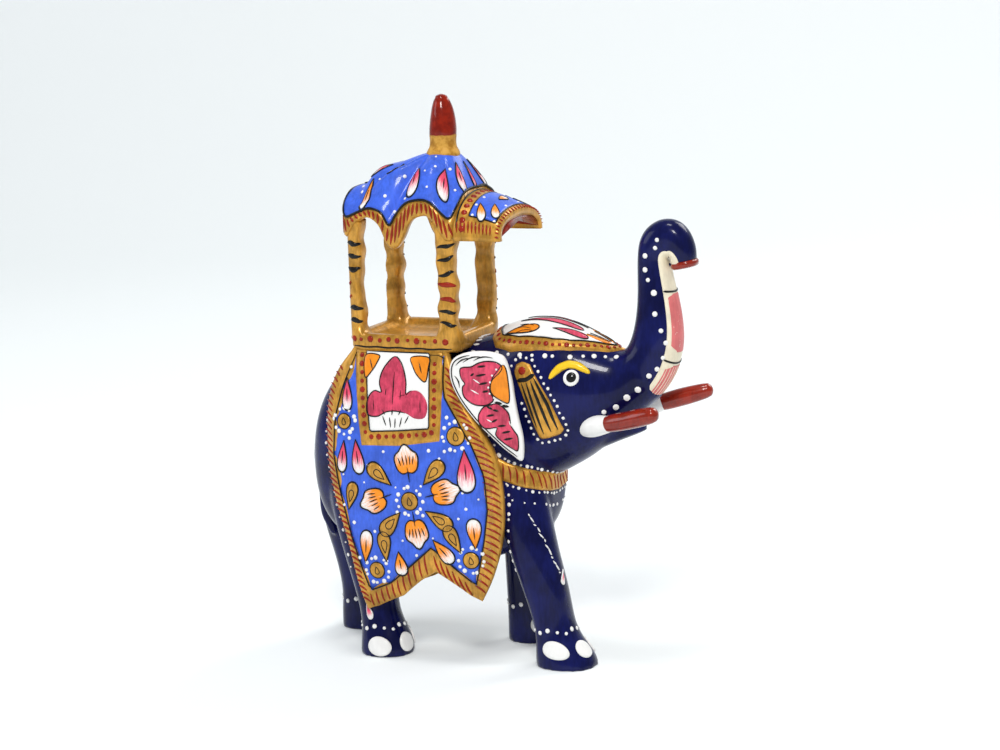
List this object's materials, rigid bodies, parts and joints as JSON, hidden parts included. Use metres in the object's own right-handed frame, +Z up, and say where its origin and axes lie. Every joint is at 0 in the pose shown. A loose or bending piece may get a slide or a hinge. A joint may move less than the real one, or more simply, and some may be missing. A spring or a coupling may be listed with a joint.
{
  "type": "carved wooden elephant figurine",
  "caption": "Hand-carved, painted wooden elephant with raised trunk and side cloths, carrying a small open pavilion with a domed roof.",
  "frame": {"origin": "middle of the whole figurine's footprint box, on the surface that the feet stand on", "axes": "+X towards the head, +Y to the elephant's left, +Z up"},
  "size_m": [0.1152, 0.0388, 0.15],
  "materials": {
    "navy_enamel": "carved softwood under gesso and glossy navy enamel",
    "blue_paint": "carved softwood under gesso and satin cornflower-blue paint",
    "gold_paint": "carved softwood under ochre-gold paint, satin",
    "white_paint": "thin carved softwood under white and pink paint, satin",
    "red_enamel": "turned or whittled softwood under glossy brick-red enamel",
    "bare_wood": "bare dowel, glued"
  },
  "bodies": {
    "root": {"body": "navy_enamel", "head": "navy_enamel", "trunk": "navy_enamel", "ear_right": "white_paint", "ear_left": "white_paint", "tusk_right": "red_enamel", "tusk_left": "red_enamel", "side_cloth_right": "blue_paint", "side_cloth_left": "blue_paint", "howdah_base": "gold_paint", "howdah_post_front_right": "gold_paint", "howdah_post_front_left": "gold_paint", "howdah_post_rear_right": "gold_paint", "howdah_post_rear_left": "gold_paint", "canopy": "blue_paint", "canopy_awning": "blue_paint", "finial": "red_enamel", "neck_dowel": "bare_wood", "trunk_dowel": "bare_wood", "howdah_dowel_front": "bare_wood", "howdah_dowel_rear": "bare_wood"}
  },
  "joints": []
}
